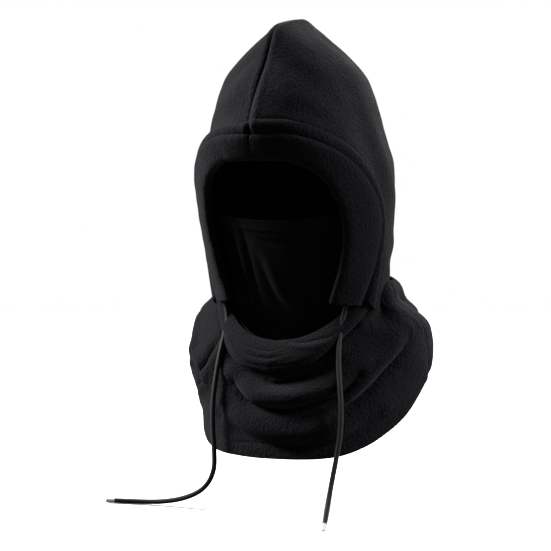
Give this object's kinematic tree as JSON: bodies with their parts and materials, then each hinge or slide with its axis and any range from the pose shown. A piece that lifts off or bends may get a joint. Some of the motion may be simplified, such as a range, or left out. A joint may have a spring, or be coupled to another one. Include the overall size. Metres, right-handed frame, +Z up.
{
  "type": "fleece balaclava",
  "caption": "Hooded fleece balaclava with a drawcord casing round the face, a pull-down face mask, a chin band and a short shoulder cape.",
  "frame": {"origin": "middle of the neck opening, level with the jaw", "axes": "+Z up; the wearer looks along -Y; the wearer's left is +X"},
  "size_m": [0.2861, 0.2549, 0.4807],
  "materials": {
    "fleece": "brushed fleece",
    "band_fleece": "smooth-faced fleece",
    "mask_jersey": "fine jersey",
    "mask_hem": "folded jersey",
    "lining": "matt",
    "tape": "woven tape",
    "label": "satin woven, blank",
    "thread": "polyester thread",
    "cord": "braided",
    "aglet": "clear tube"
  },
  "bodies": {
    "collar": {"cape_front_panel": "fleece", "cape_back_panel": "fleece", "chin_band": "band_fleece", "chin_band_lining": "lining", "chin_band_thread": "thread", "hem_front_fold": "lining", "hem_back_fold": "lining", "hem_thread": "thread", "collar_seam_tape": "tape", "care_label": "label"},
    "hood": {"hood_left_panel": "fleece", "hood_right_panel": "fleece", "crown_seam_tape": "tape", "casing_left": "band_fleece", "casing_right": "band_fleece", "drawcord_run": "cord"},
    "mask": {"face_mask": "mask_jersey", "mask_top_hem": "mask_hem", "mask_hem_thread": "thread"},
    "cord_end_left": {"drawcord_left": "cord", "aglet_left": "aglet"},
    "cord_end_right": {"drawcord_right": "cord", "aglet_right": "aglet"}
  },
  "joints": [
    {"name": "hood_tip", "type": "hinge", "parent": "collar", "child": "hood", "pos_m": [0, 0.1, 0.015], "axis": [-1, 0, 0], "range_deg": [0, 25]},
    {"name": "mask_pull", "type": "slide", "parent": "hood", "child": "mask", "axis": [0, 0.2924, -0.9563], "range_m": [0, 0.075]},
    {"name": "cord_pull_left", "type": "slide", "parent": "hood", "child": "cord_end_left", "axis": [-0.2923, 0.0411, -0.9554], "range_m": [-0.009, 0], "deforming": ["drawcord_run"]},
    {"name": "cord_pull_right", "type": "slide", "parent": "hood", "child": "cord_end_right", "axis": [0.2923, 0.0411, -0.9554], "range_m": [-0.009, 0], "deforming": ["drawcord_run"]}
  ]
}
